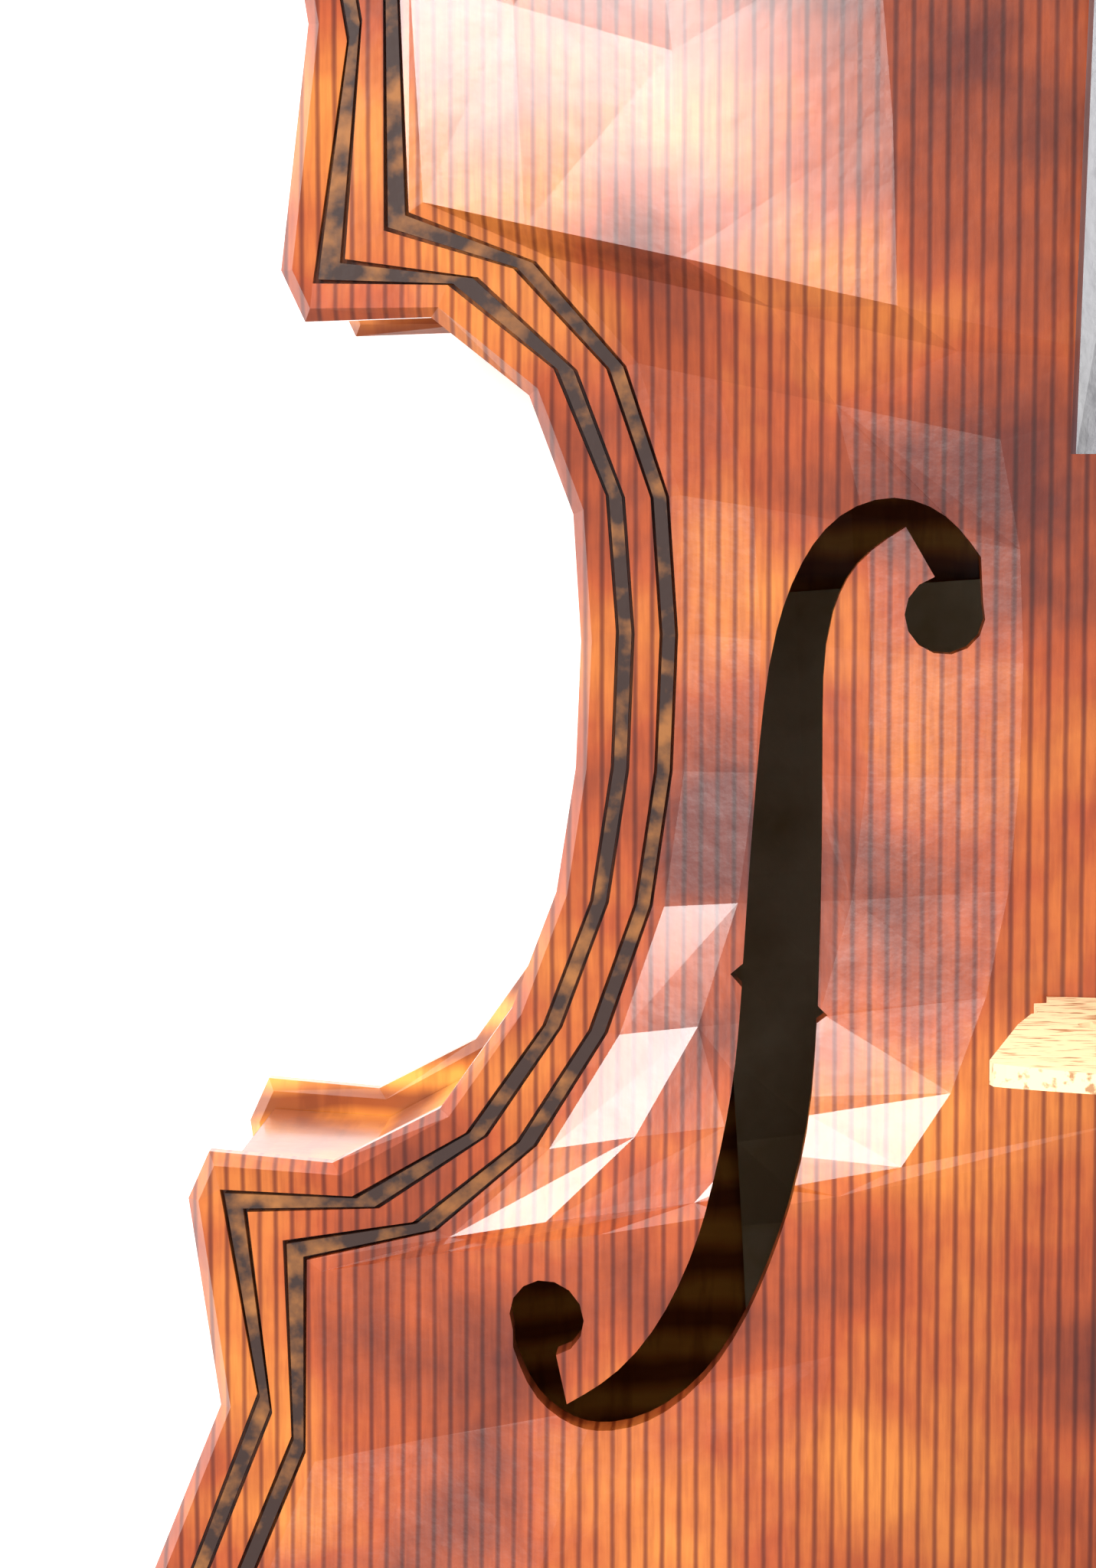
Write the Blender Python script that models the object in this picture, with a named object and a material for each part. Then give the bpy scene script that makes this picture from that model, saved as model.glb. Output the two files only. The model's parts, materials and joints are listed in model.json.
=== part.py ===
"""A viola, built as its maker builds it: two arched plates on six ribs, with
blocks and linings inside, and the neck, bridge and fittings set on them.

Units are metres. The viola lies on its back: +Z runs from the back to the top,
+Y towards the scroll, and the bass side is -X. The origin lies on the flat of the
back's crown, straight under the bridge.
"""

import math

import bmesh
import bpy
import numpy as np
from mathutils import Vector
from mathutils.bvhtree import BVHTree

MM = 0.001
GAP = 0.0003
WELD = 1e-6

# Heights of the body, from the table upwards
BACK_ARCH = 0.0155
BACK_EDGE = 0.004
RIB_HEIGHT = 0.038
TOP_EDGE = 0.004
TOP_ARCH = 0.016
REST_CUT = 0.0005
BACK_WOOD = 0.0042
TOP_WOOD = 0.0032

BACK_LINE = BACK_ARCH
RIB_LOW = BACK_LINE + BACK_EDGE
RIB_HIGH = RIB_LOW + RIB_HEIGHT
TOP_LINE = RIB_HIGH + TOP_EDGE

# Outline of the bass side, in millimetres from the bridge line and the centre line
BODY_TOP = 0.222
BODY_FOOT = -0.1882
UPPER_BOUT = [
    (-25, 220.6), (-50, 214.2), (-72, 201.5), (-88, 182.5), (-96.6, 160),
    (-98.9, 137), (-97.5, 115), (-94.5, 96), (-92.6, 84), (-93.1, 77.6),
    (-94.3, 74.2), (-96.6, 69.3),
]
WAIST = [
    (-94.3, 64.4), (-90.2, 65.1), (-85.7, 65.4), (-80.5, 64.2), (-74.6, 59.7),
    (-70.3, 53), (-68.2, 44), (-67.7, 33), (-68.2, 21.5), (-70.3, 8.5),
    (-74.9, -3), (-81.8, -12.4), (-88.4, -16.8), (-96, -17.7), (-104.3, -16.6),
]
LOWER_BOUT = [
    (-106.4, -21.3), (-104.5, -26.7), (-102.9, -33), (-102.8, -39), (-104.2, -45),
    (-109, -56), (-115, -73), (-119.3, -90), (-120.4, -106), (-118.5, -126),
    (-111, -147), (-97, -166), (-77, -178.8), (-50, -185.6), (-24, -187.8),
]
UPPER_STEPS = 9
WAIST_STEPS = 10
LOWER_STEPS = 12

# Plates: edge, channel, purfling and arch
EDGE_ROUND = 0.0011
EDGE_SIDE = 0.0012
CHANNEL_WIDTH = 0.0105
CHANNEL_DIP = 0.0005
PURFLING_SETS = (0.0043, 0.0085)
PURFLING_WIDTH = 0.0012
PURFLING_DEPTH = 0.0014
RIDGE_TOP = 0.140
RIDGE_FOOT = -0.100
RIDGE_FALL = 0.12
TOP_CROWN = 0.020
BACK_CROWN = 0.040
SIDE_FULLNESS = 2.8
END_FULLNESS = 1.9
RECURVE = 9
ARCH_STEPS = (0.12, 0.3, 0.54, 0.8)
BUTTON_RADIUS = 0.0115
BUTTON_LAP = 0.0022

# Sound hole of the bass side, in millimetres
EYE_UPPER = (-33.4, 36.9)
EYE_LOWER = (-70.5, -30.7)
EYE_RADIUS = 3.65
HOLE_OUTER_UPPER = [
    (-30.2, 42.3), (-33.4, 46), (-38.1, 47.7), (-43.0, 46.0), (-46.5, 41.6),
    (-48.9, 35), (-50.4, 24.6), (-51.2, 14.4), (-51.9, 3.3),
]
NOTCH_OUTER = (-53.1, 2.2)
HOLE_OUTER_LOWER = [
    (-52, 1.1), (-52.6, -6.2), (-53.9, -13.9), (-55.9, -21.6), (-59, -29),
    (-63.5, -35.1), (-68.5, -38.9),
]
HOLE_INNER_LOWER = [
    (-73.8, -33.9), (-71.4, -38.6), (-67.9, -40.8), (-64.2, -41), (-59, -38.8),
    (-53.9, -33.5), (-50.2, -26.5), (-47.6, -19.2), (-45.8, -11.8), (-44.9, -1.6),
]
NOTCH_INNER = (-43.9, -0.8)
HOLE_INNER_UPPER = [
    (-44.8, 0), (-44.5, 14.4), (-44.5, 27.6), (-43.6, 37), (-41.4, 41.5), (-37, 45),
]

# Ribs, linings and blocks
OVERHANG = 0.003
RIB_WOOD = 0.0012
LINING_WIDTH = 0.0021
LINING_HEIGHT = 0.0085
LINING_SPACE = 0.0015
CORNER_ARM = 0.024
UPPER_BLOCK_HALF = 0.026
UPPER_BLOCK_DEPTH = 0.018
LOWER_BLOCK_HALF = 0.024
LOWER_BLOCK_DEPTH = 0.016

# Bar, post and label
BAR_OFFSET_TOP = -0.0205
BAR_OFFSET_FOOT = -0.0245
BAR_TOP = 0.128
BAR_FOOT = -0.142
BAR_WIDTH = 0.0055
BAR_HEIGHT = 0.0115
BAR_END_HEIGHT = 0.004
POST_OFFSET = 0.0235
POST_BEHIND = 0.008
POST_RADIUS = 0.0033
LABEL_CENTRE = (-0.0265, -0.0025)
LABEL_WIDTH = 0.055
LABEL_HEIGHT = 0.081
LABEL_TURN = math.radians(3)
LABEL_PAPER = 0.0003

# Fingerboard and nut
BOARD_END = 0.0517
BOARD_END_HALF = 0.0235
BOARD_TAPER = 0.036
BOARD_RADIUS = 0.042
BOARD_CORNER_RISE = 0.035
BOARD_SLOPE = math.radians(7.5)
BOARD_EDGE = 0.0055
NUT_LINE = 0.370
NUT_LENGTH = 0.0055
NUT_RISE = 0.0007

# Neck and head
ROOT_DEPTH = 0.0065
HEEL_FOOT_HALF = 0.0105
HEEL_NOSE = 0.0105
HEEL_SWEEP = 0.030
NECK_DEPTH = 0.0125
CHIN_DEPTH = 0.0205
CHEEK_TOP = 0.058
THROAT_REACH = 0.082
THROAT_TOP = 0.029
BOX_HALF = 0.0140
THROAT_HALF = 0.0095
BOX_WALL = 0.0050
BOX_FLOOR = 0.0050
SCROLL_REACH = 0.100
SCROLL_RADIUS = 0.0245
SCROLL_DECAY = 0.1025
SCROLL_TURNS = 2.5
TURN_STEPS = 24
EYE_BOSS_RADIUS = 0.0046
EYE_BOSS_HALF = 0.0205

# Pegs, from the nut: reach, side of the head (-1 bass, +1 treble) and turn of the thumb
PEGS = {
    "c_peg": (0.018, -1, 20),
    "a_peg": (0.035, 1, -35),
    "g_peg": (0.053, -1, 62),
    "d_peg": (0.070, 1, 8),
}
PEG_RADIUS = 0.0039
PEG_TAPER = 0.03
PEG_LIFT = 0.0015
PEG_COLLAR_GAP = 0.0075
PEG_SIDES = 12

# Bridge, in millimetres above the top's edge line, for one half of its outline
BRIDGE_FOOT_INNER = 12.0
BRIDGE_FOOT_OUTER = 23.9
BRIDGE_ARCH = [(0, 27.4), (4.5, 26.6), (8.2, 24.2), (10.6, 21.2), (11.6, 18.6)]
BRIDGE_SIDE = [
    (23.9, 18.3), (25.3, 18.7), (25.3, 23.4), (25.9, 23.8), (27.4, 28.8), (30.85, 45.0),
    (30.6, 46.3), (29.6, 47.0),
]
BRIDGE_CROWN = 0.0545
BRIDGE_CROWN_RADIUS = 0.062
BRIDGE_FOOT_THICK = 0.0040
BRIDGE_CROWN_THICK = 0.00145
HEART = [(0, 33.2), (2.6, 36.2), (3.6, 39.4), (2.2, 41.4), (0, 39.8)]
KIDNEY = [(13.2, 28.0), (16.5, 30.9), (20.2, 31.2), (22.2, 28.6), (20.0, 26.9), (16.4, 26.4)]

# Strings: radius, spacing and winding
STRINGS = {
    "c_string": ("c_peg", -1.5, 0.00060),
    "g_string": ("g_peg", -0.5, 0.00050),
    "d_string": ("d_peg", 0.5, 0.00042),
    "a_string": ("a_peg", 1.5, 0.00036),
}
BRIDGE_SPACING = 0.0128
NUT_SPACING = 0.0059
TAIL_SPACING = 0.0098
WINDING_LOOPS = 2
WINDING_DRAW = 0.3
WINDING_SPACE = 0.00045
LOOP_POINTS = 24

# Tailpiece, saddle, end button and tail gut
TAIL_FRONT = -0.0600
TAIL_BACK = -0.1810
TAIL_FRONT_HALF = 0.0215
TAIL_BACK_HALF = 0.0115
TAIL_FRONT_RISE = 0.0380
TAIL_BACK_RISE = 0.0110
TAIL_THICK = 0.0060
TAIL_CROWN = 0.0040
FRET_LINE = -0.0620
FRET_RISE = 0.0014
STRING_HOLE_LINE = -0.0690
STRING_HOLE_RADIUS = 0.0016
SADDLE_HALF = 0.0175
SADDLE_DEPTH = 0.0060
SADDLE_RISE = 0.0055
GUT_RADIUS = 0.0010
PIN_RADIUS = 0.0039
BUTTON_NECK = 0.0040
END_BUTTON_RADIUS = 0.0075


def clear_scene():
    for obj in list(bpy.data.objects):
        bpy.data.objects.remove(obj, do_unlink=True)


def new_material(name, colour, roughness, metallic=0.0):
    material = bpy.data.materials.new(name)
    material.use_nodes = True
    shader = material.node_tree.nodes["Principled BSDF"]
    shader.inputs["Base Color"].default_value = (*colour, 1.0)
    shader.inputs["Roughness"].default_value = roughness
    shader.inputs["Metallic"].default_value = metallic
    return material


def make_materials():
    return {
        "spruce": new_material("varnished_spruce", (0.42, 0.09, 0.02), 0.32),
        "maple": new_material("varnished_maple", (0.55, 0.17, 0.03), 0.32),
        "bare_spruce": new_material("bare_spruce", (0.62, 0.42, 0.20), 0.65),
        "ebony": new_material("ebony", (0.045, 0.04, 0.05), 0.38),
        "bridge_maple": new_material("bridge_maple", (0.85, 0.60, 0.32), 0.5),
        "purfling": new_material("purfling", (0.10, 0.05, 0.02), 0.45),
        "string": new_material("string_metal", (0.62, 0.62, 0.64), 0.3, 1.0),
        "gut": new_material("tail_gut", (0.08, 0.07, 0.06), 0.4),
        "paper": new_material("label_paper", (0.72, 0.62, 0.42), 0.85),
    }


def add_object(name, bm, material, location=(0, 0, 0)):
    """A finished mesh as an object, welded, facing out and shaded smooth."""
    bmesh.ops.remove_doubles(bm, verts=bm.verts, dist=WELD)
    bmesh.ops.recalc_face_normals(bm, faces=bm.faces)
    mesh = bpy.data.meshes.new(name)
    bm.to_mesh(mesh)
    bm.free()
    mesh.shade_smooth()
    mesh.set_sharp_from_angle(angle=math.radians(35))
    mesh.materials.append(material)
    obj = bpy.data.objects.new(name, mesh)
    obj.location = location
    bpy.context.scene.collection.objects.link(obj)
    return obj


def as_cutter(obj):
    obj.hide_render = True
    obj.display_type = "WIRE"
    return obj


def combine(target, other, operation, solver="EXACT"):
    modifier = target.modifiers.new(f"{operation.lower()}_{other.name}", "BOOLEAN")
    modifier.operation = operation
    modifier.solver = solver
    modifier.object = other


def cut(target, *cutters, solver="EXACT"):
    for cutter in cutters:
        combine(target, cutter, "DIFFERENCE", solver)


def unite(target, *others):
    for other in others:
        combine(target, as_cutter(other), "UNION")


def skin(bm, rings, closed=False):
    """Quads between loops of points, each loop closed on itself."""
    rows = [[bm.verts.new(point) for point in ring] for ring in rings]
    pairs = list(zip(rows, rows[1:]))
    if closed:
        pairs.append((rows[-1], rows[0]))
    for low, high in pairs:
        for i in range(len(low)):
            j = (i + 1) % len(low)
            bm.faces.new((low[i], low[j], high[j], high[i]))
    return rows


def loft(name, rings, material, location=(0, 0, 0)):
    """A closed solid through a row of sections, with both ends capped."""
    bm = bmesh.new()
    rows = skin(bm, rings)
    bm.faces.new(rows[0])
    bm.faces.new(reversed(rows[-1]))
    return add_object(name, bm, material, location)


def prism(name, outline, low, high, material):
    """A plan outline carried straight up from one height to another."""
    return loft(name, [[(x, y, z) for x, y in outline] for z in (low, high)], material)


def wall(name, outline, front, back, material):
    """An outline in the XZ plane carried along Y, each face at its own depth."""
    rings = [[(x, side(z), z) for x, z in outline] for side in (front, back)]
    return loft(name, rings, material)


def mirrored(points):
    return [(-x, *rest) for x, *rest in points]


def smooth_curve(knots, start=None, end=None, span_points=16):
    """Points along the cubic spline through the knots, with optional end directions."""
    knots = np.array(knots, float)
    spans = np.linalg.norm(np.diff(knots, axis=0), axis=1)
    count = len(knots)
    system = np.zeros((count, count))
    right = np.zeros_like(knots)
    slopes = np.diff(knots, axis=0) / spans[:, None]
    system[0, 0] = 1.0
    system[-1, -1] = 1.0
    if start is not None:
        system[0, :2] = 2 * spans[0], spans[0]
        right[0] = 6 * (slopes[0] - np.array(start))
    if end is not None:
        system[-1, -2:] = spans[-1], 2 * spans[-1]
        right[-1] = 6 * (np.array(end) - slopes[-1])
    for i in range(1, count - 1):
        system[i, i - 1 : i + 2] = spans[i - 1], 2 * (spans[i - 1] + spans[i]), spans[i]
        right[i] = 6 * (slopes[i] - slopes[i - 1])
    bends = np.linalg.solve(system, right)
    points = []
    for i, span in enumerate(spans):
        for t in np.linspace(0, 1, span_points, endpoint=False):
            u = 1 - t
            cubic = ((u**3 - u) * bends[i] + (t**3 - t) * bends[i + 1]) * span**2 / 6
            points.append(u * knots[i] + t * knots[i + 1] + cubic)
    return np.array([*points, knots[-1]])


def lengths_along(curve):
    steps = np.linalg.norm(np.diff(curve, axis=0), axis=1)
    return np.concatenate([[0.0], np.cumsum(steps)])


def points_at(curve, distances):
    along = lengths_along(curve)
    columns = [np.interp(distances, along, column) for column in curve.T]
    return np.column_stack(columns)


def even_points(curve, steps, start_trim=0.0, end_trim=0.0):
    """Evenly spaced points of a curve, less a length at each end."""
    total = lengths_along(curve)[-1]
    return points_at(curve, np.linspace(start_trim, total - end_trim, steps + 1))


def inset(curve, distance):
    """The curve moved to its left, which is into the body on the bass side."""
    direction = np.gradient(curve, axis=0)
    direction /= np.linalg.norm(direction, axis=1)[:, None]
    return curve + distance * np.column_stack([-direction[:, 1], direction[:, 0]])


def lengthened(curve, at_start, at_end, reach=0.006):
    points = [curve]
    if at_start:
        step = curve[0] - curve[1]
        points.insert(0, [curve[0] + reach * step / np.linalg.norm(step)])
    if at_end:
        step = curve[-1] - curve[-2]
        points.append([curve[-1] + reach * step / np.linalg.norm(step)])
    return np.concatenate(points)


def mitre(first, second):
    """Both curves cut where the first one's end crosses the second one's start."""
    a = first[:-1, None]
    da = np.diff(first, axis=0)[:, None]
    b = second[None, :-1]
    db = np.diff(second, axis=0)[None]
    cross = da[..., 0] * db[..., 1] - da[..., 1] * db[..., 0]
    gap = b - a
    with np.errstate(divide="ignore", invalid="ignore"):
        s = (gap[..., 0] * db[..., 1] - gap[..., 1] * db[..., 0]) / cross
        t = (gap[..., 0] * da[..., 1] - gap[..., 1] * da[..., 0]) / cross
    hits = np.argwhere((s >= 0) & (s <= 1) & (t >= 0) & (t <= 1))
    i, j = hits[hits[:, 0].argmax()]
    point = first[i] + s[i, j] * (first[i + 1] - first[i])
    return np.vstack([first[: i + 1], point]), np.vstack([point, second[j + 1 :]])


def bass_outline():
    """The upper bout, waist and lower bout of the bass side, each one smooth curve."""
    upper = [(0, BODY_TOP / MM), *UPPER_BOUT]
    lower = [*LOWER_BOUT, (0, BODY_FOOT / MM)]
    return [
        smooth_curve(upper, start=(-1, 0)) * MM,
        smooth_curve(WAIST) * MM,
        smooth_curve(lower, end=(1, 0)) * MM,
    ]


def side_curves(distance):
    """The bass side's three curves at a distance inside the outline, mitred together."""
    upper, waist, lower = [inset(curve, distance) for curve in bass_outline()]
    upper = lengthened(upper, False, True)
    waist = lengthened(waist, True, True)
    lower = lengthened(lower, True, False)
    if distance < EDGE_ROUND + EDGE_SIDE:
        tips = [np.array([a[-1], b[0]]) for a, b in zip(bass_outline(), bass_outline()[1:])]
        tips = [lengthened(inset(tip, distance), True, True) for tip in tips]
        upper, tip = mitre(upper, tips[0])
        tip, waist = mitre(tip, waist)
        waist, tip = mitre(waist, tips[1])
        tip, lower = mitre(tip, lower)
        return upper, waist, lower
    upper, waist = mitre(upper, waist)
    waist, lower = mitre(waist, lower)
    return upper, waist, lower


def half_loop(distance):
    """Points down the bass side, from the centre line at the top to that at the foot."""
    upper, waist, lower = side_curves(distance)
    points = np.vstack(
        [
            even_points(upper, UPPER_STEPS),
            even_points(waist, WAIST_STEPS),
            even_points(lower, LOWER_STEPS),
        ]
    )
    points[[0, -1], 0] = 0.0
    return points


def whole_loop(distance):
    half = half_loop(distance)
    return np.vstack([half, half[-2:0:-1] * (-1, 1)])


def channel_depth(distance):
    """How far the plate's face dips below its edge line at a distance from the edge."""
    share = (distance - EDGE_ROUND) / (CHANNEL_WIDTH - EDGE_ROUND)
    return CHANNEL_DIP * math.sin(math.pi * min(max(share, 0.0), 1.0))


def arched_loop(share, rise, crown):
    """A loop part of the way from the channel to the ridge, and its height there."""
    base = whole_loop(CHANNEL_WIDTH)
    low, high = base[:, 1].min(), base[:, 1].max()
    ridge = np.interp(base[:, 1], (low, high), (RIDGE_FOOT, RIDGE_TOP))
    reach = np.column_stack([np.zeros(len(base)), ridge]) - base
    across = np.abs(reach[:, 0]) / np.linalg.norm(reach, axis=1)
    power = END_FULLNESS + (SIDE_FULLNESS - END_FULLNESS) * across
    plan = base + share * reach
    crest = rise - RIDGE_FALL * (plan[:, 1] - crown) ** 2
    rest = 1 - share
    curve = 1 - rest**power - power * share * rest**RECURVE
    return plan, crest * curve


def groove_walls():
    half = PURFLING_WIDTH / 2 + GAP
    return [(middle - half, middle + half) for middle in PURFLING_SETS]


def make_plate(name, line, side, edge, rise, crown, wood, material):
    """One arched plate. `side` is +1 for the top, whose arch rises, and -1 for the back."""

    def edge_loop(distance, depth):
        return [(x, y, line - side * depth) for x, y in whole_loop(distance)]

    def arch_loop(share, depth):
        plan, height = arched_loop(share, rise, crown)
        levels = line + side * (height - depth)
        if depth == 0:
            levels = np.maximum(levels, 0.0)
        return [(x, y, z) for (x, y), z in zip(plan, levels)]

    steps = sorted(ARCH_STEPS, reverse=True)
    rings = [arch_loop(1.0, 0.0)]
    rings += [arch_loop(share, 0.0) for share in steps]
    rings.append(edge_loop(CHANNEL_WIDTH, 0.0))
    for outer, inner in reversed(groove_walls()):
        floor = PURFLING_DEPTH + GAP
        rings.append(edge_loop(inner, channel_depth(inner)))
        rings.append(edge_loop(inner, channel_depth(inner) + floor))
        rings.append(edge_loop(outer, channel_depth(outer) + floor))
        rings.append(edge_loop(outer, channel_depth(outer)))
    rings.append(edge_loop(EDGE_ROUND, 0.0))
    rings.append(edge_loop(0.0, EDGE_SIDE))
    rings.append(edge_loop(0.0, edge - EDGE_SIDE))
    rings.append(edge_loop(EDGE_ROUND, edge))
    rings.append(edge_loop(CHANNEL_WIDTH, edge))
    rings += [arch_loop(share, wood) for share in ARCH_STEPS]
    rings.append(arch_loop(1.0, wood))
    bm = bmesh.new()
    skin(bm, rings)
    return add_object(name, bm, material)


def make_button(back):
    """The round tongue of the back plate that the neck's heel stands on."""
    angles = np.linspace(0, 2 * math.pi, 28, endpoint=False)
    outline = [(BUTTON_RADIUS * math.cos(a), BODY_TOP + BUTTON_RADIUS * math.sin(a)) for a in angles]
    disc = prism("back_button", outline, BACK_LINE + EDGE_SIDE / 2, RIB_LOW, back.data.materials[0])
    reach = 3 * BUTTON_RADIUS
    centre = (0, BODY_TOP - BUTTON_LAP - reach / 2, RIB_LOW)
    cut(disc, plain_box("button_trim", centre, (reach, reach, reach)))
    unite(back, disc)


def plain_box(name, centre, size):
    corners = [(-1, -1), (1, -1), (1, 1), (-1, 1)]
    outline = [(centre[0] + sx * size[0] / 2, centre[1] + sy * size[1] / 2) for sx, sy in corners]
    low, high = centre[2] - size[2] / 2, centre[2] + size[2] / 2
    return as_cutter(prism(name, outline, low, high, bpy.data.materials["ebony"]))


def arc_points(centre, radius, first, last, steps):
    """Points of an arc, its angles in degrees, both ends included."""
    angles = np.radians(np.linspace(first, last, steps + 1))
    return [(centre[0] + radius * math.cos(a), centre[1] + radius * math.sin(a)) for a in angles]


def sound_hole_outline(span_points=3):
    """The bass side's sound hole, in metres: stems, notches, wings and round eyes."""
    upper_eye = arc_points(EYE_UPPER, EYE_RADIUS, 105, 380, 11)
    lower_eye = arc_points(EYE_LOWER, EYE_RADIUS, -75, 205, 11)
    outline = [
        *upper_eye,
        *smooth_curve(HOLE_OUTER_UPPER, span_points=span_points),
        NOTCH_OUTER,
        *smooth_curve(HOLE_OUTER_LOWER, span_points=span_points),
        *lower_eye,
        *smooth_curve(HOLE_INNER_LOWER, span_points=span_points),
        NOTCH_INNER,
        *smooth_curve(HOLE_INNER_UPPER, span_points=span_points),
    ]
    return [(x * MM, y * MM) for x, y in outline]


def make_sound_hole_cutters():
    outline = sound_hole_outline()
    low, high = RIB_HIGH - BACK_EDGE, TOP_LINE + TOP_ARCH
    bass = prism("bass_hole_cutter", outline, low, high, bpy.data.materials["ebony"])
    treble = prism("treble_hole_cutter", mirrored(outline), low, high, bpy.data.materials["ebony"])
    return as_cutter(bass), as_cutter(treble)


def surface_finder(obj):
    """A function that gives the first height met on the object, going up or down."""
    bm = bmesh.new()
    bm.from_mesh(obj.data)
    tree = BVHTree.FromBMesh(bm)
    bm.free()

    def find(x, y, start, going):
        hit = tree.ray_cast(Vector((x, y, start)), Vector((0, 0, going)))
        return hit[0].z

    return find


def strip_rings(outer, inner, low, high, steps, start_trim, end_trim):
    """Upright sections of a bent strip between two curves of the plan."""
    outside = even_points(outer, steps, start_trim, end_trim)
    inside = even_points(inner, steps, start_trim, end_trim)
    return [
        [(*a, low), (*a, high), (*b, high), (*b, low)] for a, b in zip(outside, inside)
    ]


def both_sides(name, rings, material):
    bass = loft(f"bass_{name}", rings, material)
    treble = loft(f"treble_{name}", [mirrored(ring) for ring in rings], material)
    return bass, treble


def shifted(line, distance):
    """A polyline moved to its left, every edge staying parallel to itself."""
    steps = np.diff(line, axis=0)
    normals = np.column_stack([-steps[:, 1], steps[:, 0]])
    normals /= np.linalg.norm(steps, axis=1)[:, None]
    before = np.vstack([normals[:1], normals])
    after = np.vstack([normals, normals[-1:]])
    reach = 1 + (before * after).sum(axis=1)
    return line + distance * (before + after) / reach[:, None]


def stretch(lines, start_trim, end_trim):
    """The same stretch of parallel polylines, with every bend inside it kept."""
    along = lengths_along(lines[0])
    ends = (start_trim, along[-1] - end_trim)
    inside = along[(along > ends[0] + WELD) & (along < ends[1] - WELD)]
    places = np.interp([ends[0], *inside, ends[1]], along, np.arange(len(along)))
    index = np.arange(len(along))
    return [
        np.column_stack([np.interp(places, index, column) for column in line.T]) for line in lines
    ]


def rib_faces(distance):
    steps = (UPPER_STEPS, WAIST_STEPS, LOWER_STEPS)
    return [even_points(curve, count) for curve, count in zip(side_curves(distance), steps)]


def block_lines():
    """Lines just inside the ribs, mitred at the corners."""
    upper, waist, lower = [shifted(face, GAP) for face in rib_faces(OVERHANG + RIB_WOOD)]
    upper, waist = mitre(lengthened(upper, False, True), lengthened(waist, True, True))
    waist, lower = mitre(waist, lengthened(lower, True, False))
    upper[0, 0] = 0.0
    lower[-1, 0] = 0.0
    return upper, waist, lower


def bent_rings(outer, inner, low, high):
    return [
        [(*out, low), (*into, low), (*into, high), (*out, high)]
        for out, into in zip(outer, inner)
    ]


def make_ribs(material):
    ribs = {}
    names = ("upper_rib", "waist_rib", "lower_rib")
    faces = zip(names, rib_faces(OVERHANG), rib_faces(OVERHANG + RIB_WOOD))
    for name, outer, inner in faces:
        lines = stretch([outer, inner], GAP, GAP)
        rings = bent_rings(*lines, RIB_LOW + GAP, RIB_HIGH - GAP)
        ribs[name] = both_sides(name, rings, material)
    return ribs


def make_linings(material):
    """Two bent strips inside each rib, one under the top and one over the back."""
    corner = CORNER_ARM + LINING_SPACE
    trims = {
        "upper": (UPPER_BLOCK_HALF + LINING_SPACE, corner),
        "waist": (corner, corner),
        "lower": (corner, LOWER_BLOCK_HALF + LINING_SPACE),
    }
    levels = {
        "back_lining": (RIB_LOW + GAP, RIB_LOW + GAP + LINING_HEIGHT),
        "top_lining": (RIB_HIGH - GAP - LINING_HEIGHT, RIB_HIGH - GAP),
    }
    for (name, trim), face in zip(trims.items(), rib_faces(OVERHANG + RIB_WOOD)):
        lines = stretch([shifted(face, GAP), shifted(face, GAP + LINING_WIDTH)], *trim)
        for place, (low, high) in levels.items():
            both_sides(f"{name}_{place}", bent_rings(*lines, low, high), material)


def make_corner_blocks(material):
    upper, waist, lower = block_lines()
    for name, before, after in (("upper", upper, waist), ("lower", waist, lower)):
        arm = stretch([before], lengths_along(before)[-1] - CORNER_ARM, 0.0)[0]
        other = stretch([after], 0.0, lengths_along(after)[-1] - CORNER_ARM)[0]
        outline = [tuple(point) for point in (*arm, *other[1:])]
        for side, plan in (("bass", outline), ("treble", mirrored(outline))):
            prism(f"{side}_{name}_corner_block", plan, RIB_LOW + GAP, RIB_HIGH - GAP, material)


def end_block(name, line, half, depth, material):
    """A block across the centre, its outer face along this line from the centre out."""
    shoulder = stretch([line], 0.0, lengths_along(line)[-1] - half)[0]
    outline = [*map(tuple, shoulder), (-half, depth), (half, depth)]
    outline += mirrored([tuple(point) for point in shoulder[:0:-1]])
    return prism(name, outline, RIB_LOW + GAP, RIB_HIGH - GAP, material)


def make_end_blocks(material):
    upper, _, lower = block_lines()
    inside = OVERHANG + RIB_WOOD
    upper_depth = BODY_TOP - inside - UPPER_BLOCK_DEPTH
    lower_depth = BODY_FOOT + inside + LOWER_BLOCK_DEPTH
    return (
        end_block("upper_block", upper, UPPER_BLOCK_HALF, upper_depth, material),
        end_block("lower_block", lower[::-1], LOWER_BLOCK_HALF, lower_depth, material),
    )


def purfling_rings(loop, middle, line, side):
    half = PURFLING_WIDTH / 2
    dip = channel_depth(middle)
    rings = []
    for distance, depth in ((-half, 0), (half, 0), (half, PURFLING_DEPTH), (-half, PURFLING_DEPTH)):
        level = line - side * (dip + depth)
        rings.append([(x, y, level) for x, y in loop(middle + distance)])
    return rings


def make_purfling(material, heel_cutter, saddle_cutter):
    """Inlaid strips, two lines in each plate. The neck and saddle part the top's outer one."""
    for name, middle, line, side in (
        ("top_inner_purfling", PURFLING_SETS[1], TOP_LINE, 1),
        ("back_outer_purfling", PURFLING_SETS[0], BACK_LINE, -1),
        ("back_inner_purfling", PURFLING_SETS[1], BACK_LINE, -1),
    ):
        bm = bmesh.new()
        skin(bm, purfling_rings(whole_loop, middle, line, side), closed=True)
        add_object(name, bm, material)
    columns = purfling_rings(half_loop, PURFLING_SETS[0], TOP_LINE, 1)
    sections = [list(section) for section in zip(*columns)]
    for strip in both_sides("outer_purfling", sections, material):
        cut(strip, heel_cutter, saddle_cutter)


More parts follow.
